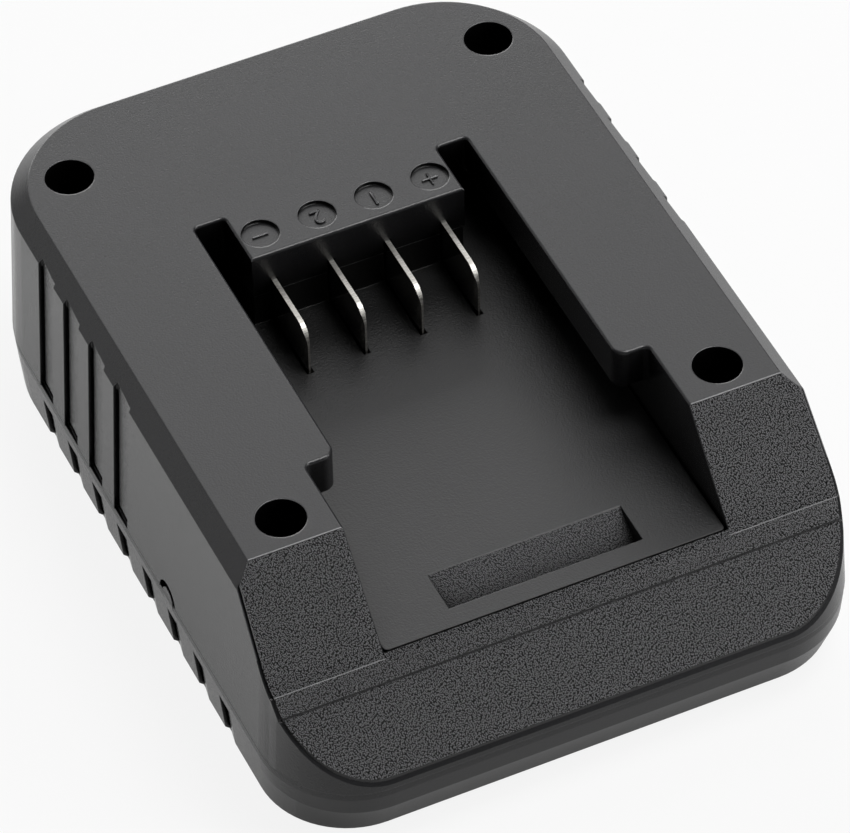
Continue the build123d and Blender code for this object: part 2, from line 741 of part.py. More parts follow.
def make_sink_screws():
    """Two screws through the tabs into the heat sink."""
    screws = []
    for y in package_ys:
        along = Pos(sink_x + package_tab_thickness, y, tab_hole_z) * Rot(0, 90, 0)
        head = along * Cylinder(sink_screw_head_diameter / 2, sink_screw_head_height,
                                align=(Align.CENTER, Align.CENTER, Align.MIN))
        shank = along * Cylinder(sink_screw_diameter / 2, package_tab_thickness + sink_back_thickness,
                                 align=(Align.CENTER, Align.CENTER, Align.MAX))
        screws.append(head + shank)
    return screws


def make_chip():
    """The controller: a flat moulded package with a row of legs on each long side."""
    half = chip_width / 2
    reach = half + chip_leg_reach
    chip = block(-chip_length / 2, chip_length / 2, chip_y - half, chip_y + half,
                 board_top_z, board_top_z + chip_height)
    for i in range(chip_legs_per_side):
        leg_x = (i - (chip_legs_per_side - 1) / 2) * chip_leg_pitch
        chip = chip + block(leg_x - chip_leg_width / 2, leg_x + chip_leg_width / 2,
                            chip_y - reach, chip_y + reach, board_top_z, board_top_z + chip_height / 2)
    return chip


def fuse_axis():
    """Frame on the fuse's axis, with its Z along the fuse."""
    return Pos(0, fuse_y, fuse_z) * Rot(0, 90, 0)


def make_fuse_tube():
    """Glass tube of the fuse, between and inside its end caps."""
    return fuse_axis() * Cylinder(fuse_diameter / 2 - fuse_cap_wall, fuse_length - 2 * fuse_cap_wall)


def make_fuse_caps():
    """Two metal caps on the ends of the glass tube."""
    caps = []
    for side in (-1, 1):
        middle = side * (fuse_length - fuse_cap_length) / 2
        cap = Pos(0, 0, middle) * Cylinder(fuse_diameter / 2, fuse_cap_length)
        tube = Cylinder(fuse_diameter / 2 - fuse_cap_wall, fuse_length - 2 * fuse_cap_wall)
        caps.append(fuse_axis() * (cap - tube))
    return caps


def make_fuse_clips():
    """Two spring clips that carry the caps on the board."""
    inner = fuse_diameter / 2 + clip_gap
    outer = inner + clip_thickness
    clips = []
    for side in (-1, 1):
        middle = side * (fuse_length - fuse_cap_length) / 2
        x0 = middle - clip_width / 2
        x1 = middle + clip_width / 2
        arm_top = fuse_z + clip_rise_share * fuse_diameter / 2
        clip = block(x0, x1, fuse_y - outer, fuse_y + outer, board_top_z, arm_top)
        clip = clip - block(x0, x1, fuse_y - inner, fuse_y + inner, fuse_z, arm_top)
        clips.append(clip - Pos(middle, fuse_y, fuse_z) * Rot(0, 90, 0) * Cylinder(inner, 2 * clip_width))
    return clips


nodes = {
    "upper_shell": [make_upper_shell()],
    "lower_shell": [make_lower_shell()],
    "dock_floor": [make_dock_floor()],
    "housing_screws": make_housing_screws(),
    "rubber_feet": make_rubber_feet(),
    "circuit_board": [make_circuit_board()],
    "board_screws": make_board_screws(),
    "inlet_jack": [make_inlet_jack()],
    "inlet_pin": [make_inlet_pin()],
    "input_capacitor": [make_can(input_can_place, input_can_diameter, input_can_height)],
    "output_capacitor": [make_can(output_can_place, output_can_diameter, output_can_height)],
    "choke_core": [make_choke_core()],
    "choke_winding": [make_choke_winding()],
    "heat_sink": [make_heat_sink()],
    "power_transistor": [make_package(package_ys[0])],
    "power_diode": [make_package(package_ys[1])],
    "heat_sink_screws": make_sink_screws(),
    "controller_chip": [make_chip()],
    "fuse_tube": [make_fuse_tube()],
    "fuse_caps": make_fuse_caps(),
    "fuse_clips": make_fuse_clips(),
}
for i, x in enumerate(blade_xs):
    nodes[f"terminal_blade_{i + 1}"] = [make_blade(x)]

os.makedirs("parts", exist_ok=True)
for name, pieces in nodes.items():
    solids = [solid for piece in pieces for solid in piece.solids()]
    shape = solids[0] if len(solids) == 1 else Compound(children=solids)
    shape.label = name
    export_step(shape, f"parts/{name}.step")
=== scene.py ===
import math
from types import SimpleNamespace

import bmesh
import bpy
from mathutils import Matrix, Vector


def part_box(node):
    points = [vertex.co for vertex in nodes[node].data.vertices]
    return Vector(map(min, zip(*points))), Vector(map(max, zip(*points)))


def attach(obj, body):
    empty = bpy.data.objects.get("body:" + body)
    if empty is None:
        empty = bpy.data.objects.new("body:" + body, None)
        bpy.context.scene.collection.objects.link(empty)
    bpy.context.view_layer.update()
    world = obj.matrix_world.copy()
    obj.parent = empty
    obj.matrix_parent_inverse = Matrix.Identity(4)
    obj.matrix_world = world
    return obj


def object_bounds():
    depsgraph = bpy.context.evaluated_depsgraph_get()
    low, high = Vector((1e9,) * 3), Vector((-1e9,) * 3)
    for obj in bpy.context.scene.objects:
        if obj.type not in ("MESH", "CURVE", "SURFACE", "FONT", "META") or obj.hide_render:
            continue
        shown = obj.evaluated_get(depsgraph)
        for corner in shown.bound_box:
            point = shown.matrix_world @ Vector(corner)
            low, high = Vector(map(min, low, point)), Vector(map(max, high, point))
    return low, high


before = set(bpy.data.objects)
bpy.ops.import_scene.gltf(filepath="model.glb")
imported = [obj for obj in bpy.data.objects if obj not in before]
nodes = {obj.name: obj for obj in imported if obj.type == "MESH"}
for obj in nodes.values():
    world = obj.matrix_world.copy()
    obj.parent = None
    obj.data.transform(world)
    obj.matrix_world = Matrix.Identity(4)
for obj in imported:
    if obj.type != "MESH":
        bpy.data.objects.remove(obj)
cad_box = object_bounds()


# Lower shell: the base tray of the housing, moulded in dark ABS and screwed to the upper shell from above.
# Its walls lean in to the base, and low slots on both sides let warm air out. Spark erosion gives the mould a
# fine matt, so its faces look evenly grey, while the smoother side walls mirror the table.


def linear(colour):
    """An sRGB hex colour as linear red, green and blue, with full alpha."""
    parts = [int(colour[i:i + 2], 16) / 255 for i in (1, 3, 5)]
    return [p / 12.92 if p <= 0.04045 else ((p + 0.055) / 1.055) ** 2.4 for p in parts] + [1.0]


def grains(millimetres):
    """Texture scale at which one grain of a pattern has this width."""
    return 1000 / millimetres


def add(material, kind, sockets, **settings):
    """Adds a node: its settings, then its sockets, each set to a value or linked from an output.

    A node in the place of a value stands for its first output.
    """
    node = material.node_tree.nodes.new(kind)
    for name, value in settings.items():
        setattr(node, name, value)
    for name, value in sockets.items():
        source = value.outputs[0] if isinstance(value, bpy.types.Node) else value
        if isinstance(source, bpy.types.NodeSocket):
            material.node_tree.links.new(source, node.inputs[name])
        else:
            node.inputs[name].default_value = source
    return node


def new_finish(name):
    """An empty node material."""
    material = bpy.data.materials.new(name)
    material.use_nodes = True
    material.node_tree.nodes.clear()
    return material


def dress(material, shader, *names):
    """Closes a material with its shader and puts it on CAD nodes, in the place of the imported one."""
    add(material, "ShaderNodeOutputMaterial", {"Surface": shader})
    for name in names:
        nodes[name].material_slots[0].material = material


matt_width = 0.32  # mm: the real matt is under 0.1 mm and would not show, so it is drawn coarser
flow_width = 22.0  # mm: slow drift of the tone where the melt flowed
flow_share = 0.35


def matt_abs(name, dark, light, relief):
    """Starts an ABS of two close tones with a fine matt: its material, and the sockets that are built on."""
    material = new_finish(name)
    place = add(material, "ShaderNodeTexCoord", {}).outputs["Object"]
    surface = add(material, "ShaderNodeNewGeometry", {})
    fine = add(material, "ShaderNodeTexNoise", {"Vector": place, "Scale": grains(matt_width), "Detail": 2.0})
    flow = add(material, "ShaderNodeTexNoise", {"Vector": place, "Scale": grains(flow_width), "Detail": 3.0})
    blend = add(material, "ShaderNodeMix", {0: flow_share, 2: fine, 3: flow})
    share = add(material, "ShaderNodeMapRange", {"Value": blend, "From Min": 0.3, "From Max": 0.7})
    tone = add(material, "ShaderNodeMix", {0: share, 6: linear(dark), 7: linear(light)}, data_type="RGBA")
    height = add(material, "ShaderNodeMath", {0: fine, 1: relief}, operation="MULTIPLY")
    return SimpleNamespace(
        material=material, place=place,
        spot=add(material, "ShaderNodeSeparateXYZ", {"Vector": place}),
        facing=surface.outputs["Normal"],
        tilt=add(material, "ShaderNodeSeparateXYZ", {"Vector": surface.outputs["True Normal"]}),
        colour=tone.outputs[2], relief=height.outputs[0], highlight_lines=None)


parting_z = 0.0134
half_width = cad_box[1].x
wall_lean = math.tan(math.radians(3.0))
wall_facing = 0.8
wall_roughness = 0.21
band_reach = 0.001  # the band at the parting line, above and below it
band_roughness = 0.36
rim_height = 0.0003
rim_facing = 0.7
rim_roughness = 0.9
louvre_depth = 0.00055
louvre_slack = 0.00022
louvre_foot = 0.0002  # louvres start this far above the parting line
slot_head = 0.002  # slots start this far below it
slot_turn = 0.1
polished_roughness = 0.14
polished_mirror = 0.72
plain_mirror = 0.5


def side_walls(plastic, roughness):
    """Where the side walls are, and the roughness and mirror strength of the moulding with these walls.

    They are duller in a soft band at the parting line and dullest on its level rim. The mould is polished for
    the tilted floors of the louvres above the line and of the slots below it, so these look lighter.
    """
    material, spot, tilt = plastic.material, plastic.spot, plastic.tilt
    sideways = add(material, "ShaderNodeMath", {0: tilt.outputs["X"]}, operation="ABSOLUTE")
    on_wall = add(material, "ShaderNodeMath", {0: sideways, 1: wall_facing}, operation="GREATER_THAN")
    rise = add(material, "ShaderNodeMath", {0: spot.outputs["Z"], 1: parting_z}, operation="SUBTRACT")
    off_line = add(material, "ShaderNodeMath", {0: rise}, operation="ABSOLUTE")
    banded = add(material, "ShaderNodeMapRange", {
        "Value": off_line, "From Max": band_reach, "To Min": band_roughness, "To Max": wall_roughness},
        interpolation_type="SMOOTHSTEP")
    across = add(material, "ShaderNodeMath", {0: spot.outputs["X"]}, operation="ABSOLUTE")
    upright = add(material, "ShaderNodeMath", {0: rise, 1: wall_lean, 2: across}, operation="MULTIPLY_ADD")
    sunk = add(material, "ShaderNodeMath", {
        0: upright, 1: half_width - louvre_depth, 2: louvre_slack}, operation="COMPARE")
    above = add(material, "ShaderNodeMath", {0: rise, 1: louvre_foot}, operation="GREATER_THAN")
    louvre = add(material, "ShaderNodeMath", {0: sunk, 1: above}, operation="MULTIPLY")
    turned = add(material, "ShaderNodeMath", {0: tilt.outputs["Y"], 1: slot_turn}, operation="GREATER_THAN")
    below = add(material, "ShaderNodeMath", {0: rise, 1: -slot_head}, operation="LESS_THAN")
    slot_floor = add(material, "ShaderNodeMath", {0: turned, 1: below}, operation="MULTIPLY")
    smooth = add(material, "ShaderNodeMath", {0: louvre, 1: slot_floor}, operation="MAXIMUM")
    wall = add(material, "ShaderNodeMix", {0: smooth, 2: banded, 3: polished_roughness})
    faces = add(material, "ShaderNodeMix", {0: on_wall, 2: roughness, 3: wall})
    near_line = add(material, "ShaderNodeMath", {0: off_line, 1: rim_height}, operation="LESS_THAN")
    level = add(material, "ShaderNodeMath", {0: tilt.outputs["Z"], 1: rim_facing}, operation="GREATER_THAN")
    rim = add(material, "ShaderNodeMath", {0: near_line, 1: level}, operation="MULTIPLY")
    gloss = add(material, "ShaderNodeMix", {0: rim, 2: faces, 3: rim_roughness})
    polish = add(material, "ShaderNodeMath", {0: smooth, 1: on_wall}, operation="MULTIPLY")
    mirror = add(material, "ShaderNodeMix", {0: polish, 2: plain_mirror, 3: polished_mirror})
    return on_wall, gloss, mirror


corner_shade_reach = 0.02  # how near another surface has to be for painted shade to darken a corner
corner_shade_black = "#020202"
edge_round = 0.0003
# Painted highlight: soft edges that face the front and the top are mixed toward light grey.
highlight_grey = "#8c8c8e"
highlight_from_y = -0.05  # only edges behind the front panel get the painted highlight
wall_relief_gain = 2.0  # what the side walls have beyond the relief of other faces
bump_depth = 0.00012


def moulded(plastic, roughness, walls=False):
    """The shader of an ABS, with painted shade in its deep corners and a painted highlight on soft edges that
    face the front and top.
    """
    material = plastic.material
    # Painted shade: the base colour goes to near black where other surfaces close in on a corner.
    sky = add(material, "ShaderNodeAmbientOcclusion", {"Distance": corner_shade_reach}, samples=8)
    openness = add(material, "ShaderNodeMapRange", {
        "Value": sky.outputs["AO"], "From Min": 0.4, "From Max": 0.9})
    shaded = add(material, "ShaderNodeMix", {
        0: openness, 6: linear(corner_shade_black), 7: plastic.colour}, data_type="RGBA")
    edges = add(material, "ShaderNodeBevel", {"Radius": edge_round}, samples=6)
    thin = add(material, "ShaderNodeAmbientOcclusion", {
        "Distance": edge_round}, samples=8, inside=True, only_local=True)
    edge_share = add(material, "ShaderNodeMapRange", {
        "Value": thin.outputs["AO"], "From Min": 0.9, "From Max": 0.5})
    edge_tilt = add(material, "ShaderNodeSeparateXYZ", {"Vector": edges})
    # Painted highlight on the edges: its share grows where the rounded normal turns to the front and up.
    to_front = add(material, "ShaderNodeMapRange", {
        "Value": edge_tilt.outputs["Y"], "From Min": -0.1, "From Max": -0.35})
    to_top = add(material, "ShaderNodeMapRange", {
        "Value": edge_tilt.outputs["Z"], "From Min": 0.2, "From Max": 0.5})
    to_both = add(material, "ShaderNodeMath", {0: to_front, 1: to_top}, operation="MULTIPLY")
    behind = add(material, "ShaderNodeMath", {
        0: plastic.spot.outputs["Y"], 1: highlight_from_y}, operation="GREATER_THAN")
    in_reach = add(material, "ShaderNodeMath", {0: to_both, 1: behind}, operation="MULTIPLY")
    painted_highlight = add(material, "ShaderNodeMath", {0: edge_share, 1: in_reach}, operation="MULTIPLY")
    if plastic.highlight_lines:
        painted_highlight = add(material, "ShaderNodeMath", {0: painted_highlight, 1: plastic.highlight_lines}, operation="MAXIMUM")
    highlighted_colour = add(material, "ShaderNodeMix", {
        0: painted_highlight, 6: shaded.outputs[2], 7: linear(highlight_grey)}, data_type="RGBA")
    gloss, mirror, height, normal = roughness, plain_mirror, plastic.relief, edges.outputs["Normal"]
    if walls:
        on_wall, gloss, mirror = side_walls(plastic, roughness)
        normal = add(material, "ShaderNodeMix", {
            0: on_wall, 4: normal, 5: plastic.facing}, data_type="VECTOR").outputs[1]
        gain = add(material, "ShaderNodeMath", {
            0: on_wall, 1: wall_relief_gain, 2: 1.0}, operation="MULTIPLY_ADD")
        height = add(material, "ShaderNodeMath", {0: height, 1: gain}, operation="MULTIPLY")
    bump = add(material, "ShaderNodeBump", {
        "Height": height, "Strength": 1.0, "Distance": bump_depth, "Normal": normal})
    return add(material, "ShaderNodeBsdfPrincipled", {
        "Base Color": highlighted_colour.outputs[2], "Roughness": gloss, "IOR": 1.5, "Specular IOR Level": mirror,
        "Normal": bump})


shell_dark = "#232324"
shell_light = "#2a2a2c"
shell_roughness = 0.27
shell_relief = 0.25

base_abs = matt_abs("abs_base_fine_matt", shell_dark, shell_light, shell_relief)
dress(base_abs.material, moulded(base_abs, shell_roughness, walls=True), "lower_shell")


# Rubber feet: four round pads of black rubber, pressed into shallow seats under the base.
# Moulded rubber has open pores and picks up dust, so it looks dull and unevenly black.

pore_width = 0.5  # mm: coarser than the real pores, which would not show

rubber = new_finish("moulded_black_rubber")
rubber_place = add(rubber, "ShaderNodeTexCoord", {}).outputs["Object"]
rubber_pores = add(rubber, "ShaderNodeTexNoise", {
    "Vector": rubber_place, "Scale": grains(pore_width), "Detail": 4.0})
rubber_tone = add(rubber, "ShaderNodeMix", {
    0: rubber_pores, 6: linear("#151515"), 7: linear("#2c2c2b")}, data_type="RGBA")
rubber_bump = add(rubber, "ShaderNodeBump", {"Height": rubber_pores, "Strength": 0.3, "Distance": 0.0002})
rubber_shader = add(rubber, "ShaderNodeBsdfPrincipled", {
    "Base Color": rubber_tone.outputs[2], "Roughness": 0.85, "IOR": 1.52, "Normal": rubber_bump})
dress(rubber, rubber_shader, "rubber_feet")


# Circuit board: glass-fibre laminate under a green solder mask, screwed to four bosses of the base.
# The weave of the glass shows faintly through the mask, as a fine check of two greens.

wave_repeat = 2 * math.pi / 20  # a wave texture's own length from band to band
weave_pitch = 3.14  # mm: coarser than the real half millimetre, so that it shows
weave_scale = grains(weave_pitch) * wave_repeat

laminate = new_finish("laminate_green_mask")
laminate_place = add(laminate, "ShaderNodeTexCoord", {}).outputs["Object"]
weave_x = add(laminate, "ShaderNodeTexWave", {
    "Vector": laminate_place, "Scale": weave_scale}, bands_direction="X")
weave_y = add(laminate, "ShaderNodeTexWave", {
    "Vector": laminate_place, "Scale": weave_scale}, bands_direction="Y")
weave = add(laminate, "ShaderNodeMath", {
    0: weave_x.outputs["Fac"], 1: weave_y.outputs["Fac"]}, operation="MULTIPLY")
laminate_tone = add(laminate, "ShaderNodeMix", {
    0: weave, 6: linear("#1c4a2c"), 7: linear("#2a6a3e")}, data_type="RGBA")
laminate_shader = add(laminate, "ShaderNodeBsdfPrincipled", {
    "Base Color": laminate_tone.outputs[2], "Roughness": 0.35, "IOR": 1.55})
dress(laminate, laminate_shader, "circuit_board")


# Plated screws and fittings: zinc on the steel screws of the board and the heat sink, and nickel on the brass
# inlet pin, fuse caps and fuse clips, which are pressed or soldered in.
# Plating is bright, with a slightly uneven gloss.

streak_width = 0.25  # mm: coarser than real polishing lines, which would not show
even = (1.0, 1.0, 1.0)


def plated_metal(name, dark, light, roughness, streak, rolled=None):
    """Metal with fine streaks that also break up its gloss. Returns the material and its shader.

    streak scales the pattern along each axis, and rolled is the roughness of smooth sides, left and right.
    """
    material = new_finish(name)
    place = add(material, "ShaderNodeTexCoord", {}).outputs["Object"]
    drawn = add(material, "ShaderNodeMapping", {"Vector": place, "Scale": streak})
    lines = add(material, "ShaderNodeTexNoise", {
        "Vector": drawn, "Scale": grains(streak_width), "Detail": 3.0})
    share = add(material, "ShaderNodeMapRange", {"Value": lines, "From Min": 0.3, "From Max": 0.7})
    tone = add(material, "ShaderNodeMix", {0: share, 6: linear(dark), 7: linear(light)}, data_type="RGBA")
    gloss = add(material, "ShaderNodeMix", {0: share, 2: roughness * 0.8, 3: roughness * 1.25})
    if rolled:
        surface = add(material, "ShaderNodeNewGeometry", {})
        tilt = add(material, "ShaderNodeSeparateXYZ", {"Vector": surface.outputs["True Normal"]})
        sideways = add(material, "ShaderNodeMath", {0: tilt.outputs["X"]}, operation="ABSOLUTE")
        side = add(material, "ShaderNodeMath", {0: sideways, 1: 0.9}, operation="GREATER_THAN")
        gloss = add(material, "ShaderNodeMix", {0: side, 2: gloss, 3: rolled})
    bump = add(material, "ShaderNodeBump", {"Height": lines, "Strength": 0.15, "Distance": 0.00005})
    shader = add(material, "ShaderNodeBsdfPrincipled", {
        "Base Color": tone.outputs[2], "Metallic": 1.0, "Roughness": gloss, "Normal": bump})
    return material, shader


zinc, zinc_shader = plated_metal("zinc_plated_steel", "#a4a7aa", "#c2c5c8", 0.35, even)
dress(zinc, zinc_shader, "board_screws", "heat_sink_screws")
nickel, nickel_shader = plated_metal("nickel_plated_brass", "#b4b0a6", "#d0ccc2", 0.25, even)
dress(nickel, nickel_shader, "inlet_pin", "fuse_caps", "fuse_clips")


# Inlet: a black PBT moulding that stands on the board, its round nose in the hole of the rear wall.
# PBT out of a polished mould looks satin, with faint marks of its flow.

flow_mark = 1.2  # mm

pbt = new_finish("pbt_satin_black")
pbt_place = add(pbt, "ShaderNodeTexCoord", {}).outputs["Object"]
pbt_flow = add(pbt, "ShaderNodeTexNoise", {"Vector": pbt_place, "Scale": grains(flow_mark), "Detail": 4.0})
pbt_tone = add(pbt, "ShaderNodeMix", {
    0: pbt_flow, 6: linear("#101011"), 7: linear("#222224")}, data_type="RGBA")
pbt_shader = add(pbt, "ShaderNodeBsdfPrincipled", {
    "Base Color": pbt_tone.outputs[2], "Roughness": 0.32, "IOR": 1.55})
dress(pbt, pbt_shader, "inlet_jack")


# Capacitors: aluminium cans in a shrink sleeve, with a rolled groove near the foot, soldered to the board.
# The sleeve looks dark, glossy and slightly creased, and it leaves the bright aluminium of the top bare.

crease_width = 0.9  # mm

sleeve = new_finish("shrink_sleeve_on_aluminium")
sleeve_place = add(sleeve, "ShaderNodeTexCoord", {}).outputs["Object"]
sleeve_creases = add(sleeve, "ShaderNodeTexNoise", {
    "Vector": sleeve_place, "Scale": grains(crease_width), "Detail": 3.0})
sleeve_surface = add(sleeve, "ShaderNodeNewGeometry", {})
sleeve_tilt = add(sleeve, "ShaderNodeSeparateXYZ", {"Vector": sleeve_surface.outputs["Normal"]})
bare_top = add(sleeve, "ShaderNodeMapRange", {
    "Value": sleeve_tilt.outputs["Z"], "From Min": 0.7, "From Max": 0.75})
sleeve_tone = add(sleeve, "ShaderNodeMix", {
    0: sleeve_creases, 6: linear("#14161e"), 7: linear("#252937")}, data_type="RGBA")
can_colour = add(sleeve, "ShaderNodeMix", {
    0: bare_top, 6: sleeve_tone.outputs[2], 7: linear("#b9bbbe")}, data_type="RGBA")
sleeve_shader = add(sleeve, "ShaderNodeBsdfPrincipled", {
    "Base Color": can_colour.outputs[2], "Metallic": bare_top, "Roughness": 0.33})
dress(sleeve, sleeve_shader, "input_capacitor", "output_capacitor")


# Choke: a drum of sintered ferrite on the board, with enamelled copper wire wound between its flanges.
# Ferrite looks dull and grey like stone, and the wire is copper in side-by-side turns, drawn with a painted
# sheen on each crown and painted shade in each groove.

ferrite_grain = 0.3  # mm: coarser than the real grain, which would not show
turn_pitch = 3.14  # mm: coarser than the real half millimetre, so that the turns show

ferrite = new_finish("sintered_ferrite")
ferrite_place = add(ferrite, "ShaderNodeTexCoord", {}).outputs["Object"]
ferrite_pores = add(ferrite, "ShaderNodeTexNoise", {
    "Vector": ferrite_place, "Scale": grains(ferrite_grain), "Detail": 5.0})
ferrite_tone = add(ferrite, "ShaderNodeMix", {
    0: ferrite_pores, 6: linear("#2b2b2d"), 7: linear("#454548")}, data_type="RGBA")
ferrite_shader = add(ferrite, "ShaderNodeBsdfPrincipled", {
    "Base Color": ferrite_tone.outputs[2], "Roughness": 0.7})
dress(ferrite, ferrite_shader, "choke_core")

wire = new_finish("enamelled_copper_wire")
wire_place = add(wire, "ShaderNodeTexCoord", {}).outputs["Object"]
turns = add(wire, "ShaderNodeTexWave", {
    "Vector": wire_place, "Scale": grains(turn_pitch) * wave_repeat, "Distortion": 0.6},
    bands_direction="Z").outputs["Fac"]
# Painted sheen and shade: each turn runs from dark in its groove to light copper on its crown.
wire_tone = add(wire, "ShaderNodeMix", {
    0: turns, 6: linear("#4a2412"), 7: linear("#b0683c")}, data_type="RGBA")
wire_bump = add(wire, "ShaderNodeBump", {"Height": turns, "Strength": 0.8, "Distance": 0.0002})
wire_shader = add(wire, "ShaderNodeBsdfPrincipled", {
    "Base Color": wire_tone.outputs[2], "Metallic": 1.0, "Roughness": 0.3, "Normal": wire_bump})
dress(wire, wire_shader, "choke_winding")


# Heat sink: a bare aluminium extrusion that stands on the board, with the two power packages screwed to it.
# The die leaves long upright streaks, and the bare metal looks softly bright.

upright_streak = (1.0, 1.0, 0.04)

sink_metal, sink_shader = plated_metal("extruded_aluminium", "#8f9092", "#b4b5b7", 0.4, upright_streak)
dress(sink_metal, sink_shader, "heat_sink")


# Power packages and controller: black epoxy, moulded round tinned tabs and legs that are soldered in.
# Epoxy with its filler looks dull and almost black, and the tinned metal above and below it is light.

filler_width = 0.4  # mm: coarser than the real filler, which would not show
board_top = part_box("circuit_board")[1].z
package_foot = 0.0046  # heights above the board
package_head = 0.0136
chip_foot = 0.0002
chip_head = 0.01


def moulded_epoxy(name, metal_above, metal_below):
    """Dull black epoxy between two heights, and tinned metal above and below them."""
    material = new_finish(name)
    place = add(material, "ShaderNodeTexCoord", {}).outputs["Object"]
    height = add(material, "ShaderNodeSeparateXYZ", {"Vector": place}).outputs["Z"]
    tab = add(material, "ShaderNodeMath", {0: height, 1: metal_above}, operation="GREATER_THAN")
    leg = add(material, "ShaderNodeMath", {0: height, 1: metal_below}, operation="LESS_THAN")
    metal = add(material, "ShaderNodeMath", {0: tab, 1: leg}, operation="MAXIMUM")
    filler = add(material, "ShaderNodeTexNoise", {
        "Vector": place, "Scale": grains(filler_width), "Detail": 4.0})
    tone = add(material, "ShaderNodeMix", {
        0: filler, 6: linear("#161617"), 7: linear("#2b2b2c")}, data_type="RGBA")
    colour = add(material, "ShaderNodeMix", {
        0: metal, 6: tone.outputs[2], 7: linear("#a9abad")}, data_type="RGBA")
    shader = add(material, "ShaderNodeBsdfPrincipled", {
        "Base Color": colour.outputs[2], "Metallic": metal, "Roughness": 0.5})
    return material, shader


package_epoxy, package_shader = moulded_epoxy(
    "epoxy_power_package", board_top + package_head, board_top + package_foot)
dress(package_epoxy, package_shader, "power_transistor", "power_diode")
chip_epoxy, chip_shader = moulded_epoxy("epoxy_controller", board_top + chip_head, board_top + chip_foot)
dress(chip_epoxy, chip_shader, "controller_chip")


# Fuse: a clear glass tube between two nickel caps, held by spring clips on the board.
# Drawn glass has a slow ripple along it, which bends its highlights a little.

ripple_width = 3.0  # mm

fuse_glass = new_finish("clear_fuse_glass")
fuse_place = add(fuse_glass, "ShaderNodeTexCoord", {}).outputs["Object"]
fuse_ripple = add(fuse_glass, "ShaderNodeTexNoise", {"Vector": fuse_place, "Scale": grains(ripple_width)})
fuse_bump = add(fuse_glass, "ShaderNodeBump", {"Height": fuse_ripple, "Strength": 0.05, "Distance": 0.0002})
fuse_shader = add(fuse_glass, "ShaderNodeBsdfPrincipled", {
    "Base Color": linear("#eef3f3"), "Roughness": 0.03, "IOR": 1.5, "Transmission Weight": 1.0,
    "Normal": fuse_bump})
dress(fuse_glass, fuse_shader, "fuse_tube")


# Terminal blades: stamped from nickel-plated strip, soldered into the board and standing up in the dock.
# Shearing leaves fine lines across the edges, which scatter light and shine most, while the rolled sides are
# smooth enough to mirror the dock.

sheared_streak = (0.15, 1.0, 1.0)
sheared_roughness = 0.45
rolled_roughness = 0.12

blade_metal, blade_shader = plated_metal(
    "nickel_plated_strip", "#9c9a95", "#dedcd6", sheared_roughness, sheared_streak, rolled_roughness)
dress(blade_metal, blade_shader,
      "terminal_blade_1", "terminal_blade_2", "terminal_blade_3", "terminal_blade_4")


# Dock floor: a plate of the same ABS that stands on four legs, carries the catch ramp and holds the blades.
# It is duller than the shell, and its tones are drawn darker than the shell's as painted shade of the sunken
# dock; painted shade in the corners and real shade make it almost black under the hood. The ramp has the
# coarse etched grain of the front, with painted highlight on its small domes and painted shade in the pits.

catch_front_y = -0.0419
dock_floor_z = 0.0288
floor_roughness = 0.43
floor_relief = 0.6
etched_facing = 0.45
etched_aside = 0.3
dome_width = 0.22  # mm, and 1.4 times as long, on a slant
dome_length = 1.4
dome_slant = math.radians(-29)
slope_turn = math.radians(135)  # lays the flat pattern along the slopes
dome_relief = 2.2


def upward_faces(plastic):
    """Where faces look up or to the front, and hardly aside."""
    material, tilt = plastic.material, plastic.tilt
    upward = add(material, "ShaderNodeMath", {
        0: tilt.outputs["Z"], 1: etched_facing}, operation="GREATER_THAN")
    sideways = add(material, "ShaderNodeMath", {0: tilt.outputs["X"]}, operation="ABSOLUTE")
    straight = add(material, "ShaderNodeMath", {0: sideways, 1: etched_aside}, operation="LESS_THAN")
    return add(material, "ShaderNodeMath", {0: upward, 1: straight}, operation="MULTIPLY")


def front_faces(plastic, faces, front_y, top_z):
    """The part of these faces that lies ahead of front_y and below top_z."""
    material, spot = plastic.material, plastic.spot
    ahead = add(material, "ShaderNodeMath", {0: spot.outputs["Y"], 1: front_y}, operation="LESS_THAN")
    under = add(material, "ShaderNodeMath", {0: spot.outputs["Z"], 1: top_z}, operation="LESS_THAN")
    zone = add(material, "ShaderNodeMath", {0: ahead, 1: under}, operation="MULTIPLY")
    return add(material, "ShaderNodeMath", {0: zone, 1: faces}, operation="MULTIPLY")


def etch(plastic, mask, pit, crest):
    """Puts the coarse etched grain on part of an ABS, with painted shade in its pits and a painted highlight
    on its crests, in these two tones.
    """
    material = plastic.material
    along_slope = add(material, "ShaderNodeMapping", {
        "Vector": plastic.place, "Rotation": (slope_turn, 0, 0)})
    slanted = add(material, "ShaderNodeMapping", {
        "Vector": along_slope, "Rotation": (0, 0, dome_slant), "Scale": (1.0, dome_length, 1.0)},
        vector_type="TEXTURE")
    domes = add(material, "ShaderNodeTexVoronoi", {
        "Vector": slanted, "Scale": grains(dome_width)}, voronoi_dimensions="2D")
    height = add(material, "ShaderNodeMath", {0: 1.0, 1: domes}, operation="SUBTRACT")
    share = add(material, "ShaderNodeMapRange", {"Value": height, "From Min": 0.46, "From Max": 0.76})
    tone = add(material, "ShaderNodeMix", {0: share, 6: linear(pit), 7: linear(crest)}, data_type="RGBA")
    deep = add(material, "ShaderNodeMath", {0: height, 1: dome_relief}, operation="MULTIPLY")
    plastic.colour = add(material, "ShaderNodeMix", {
        0: mask, 6: plastic.colour, 7: tone.outputs[2]}, data_type="RGBA").outputs[2]
    plastic.relief = add(material, "ShaderNodeMix", {0: mask, 2: plastic.relief, 3: deep}).outputs[0]


